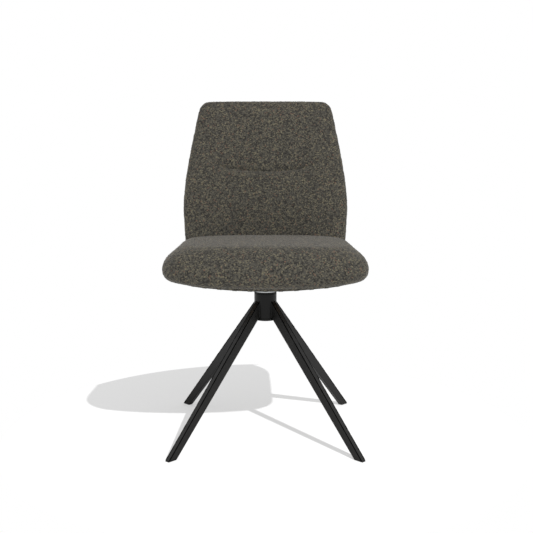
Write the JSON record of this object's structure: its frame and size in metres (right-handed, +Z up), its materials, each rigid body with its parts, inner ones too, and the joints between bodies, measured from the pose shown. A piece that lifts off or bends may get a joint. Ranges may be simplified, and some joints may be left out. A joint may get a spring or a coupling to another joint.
{
  "type": "swivel dining chair",
  "caption": "Upholstered dining chair with a domed seat and leaning back that turn on a four-legged steel swivel base.",
  "frame": {"origin": "on the floor, on the swivel axis of the column", "axes": "+Z up along the swivel axis; the sitter faces -Y at rest, and +X is on the right of someone who looks at the chair from the front"},
  "size_m": [0.4666, 0.624, 0.8505],
  "materials": {
    "black_steel": "satin",
    "black_plastic": "satin",
    "bearing_plastic": "satin",
    "glide_plastic": "matte",
    "zinc_ring": "satin",
    "zinc_steel": "satin",
    "plywood": "matte",
    "melange_fabric": "matte",
    "dust_cloth": "matte"
  },
  "bodies": {
    "base": {"column_tube": "black_steel", "column_cap": "black_plastic", "upper_bush": "black_plastic", "lower_bush": "black_plastic", "thrust_washer": "bearing_plastic", "leg_front_left": "black_steel", "leg_front_right": "black_steel", "leg_rear_left": "black_steel", "leg_rear_right": "black_steel", "foot_glide_front_left": "glide_plastic", "foot_glide_front_right": "glide_plastic", "foot_glide_rear_left": "glide_plastic", "foot_glide_rear_right": "glide_plastic"},
    "seat": {"bearing_ring": "zinc_ring", "swivel_spindle": "zinc_steel", "retaining_washer": "zinc_steel", "lock_nut": "zinc_steel", "plate_hub": "black_steel", "mounting_plate": "black_steel", "plate_bolts": "zinc_steel", "packing_block": "plywood", "seat_pan": "plywood", "pan_inserts": "zinc_steel", "seat_cushion": "melange_fabric", "dust_cover": "dust_cloth", "back_bracket_left": "black_steel", "back_bracket_right": "black_steel", "bracket_seat_bolts": "zinc_steel", "bracket_back_bolts": "zinc_steel", "back_board": "plywood", "board_inserts": "zinc_steel", "back_cushion": "melange_fabric", "back_rear_panel": "melange_fabric"}
  },
  "joints": [
    {"name": "seat_swivel", "type": "hinge", "parent": "base", "child": "seat", "pos_m": [0, 0, 0.363], "axis": [0, 0, 1], "continuous": true}
  ]
}
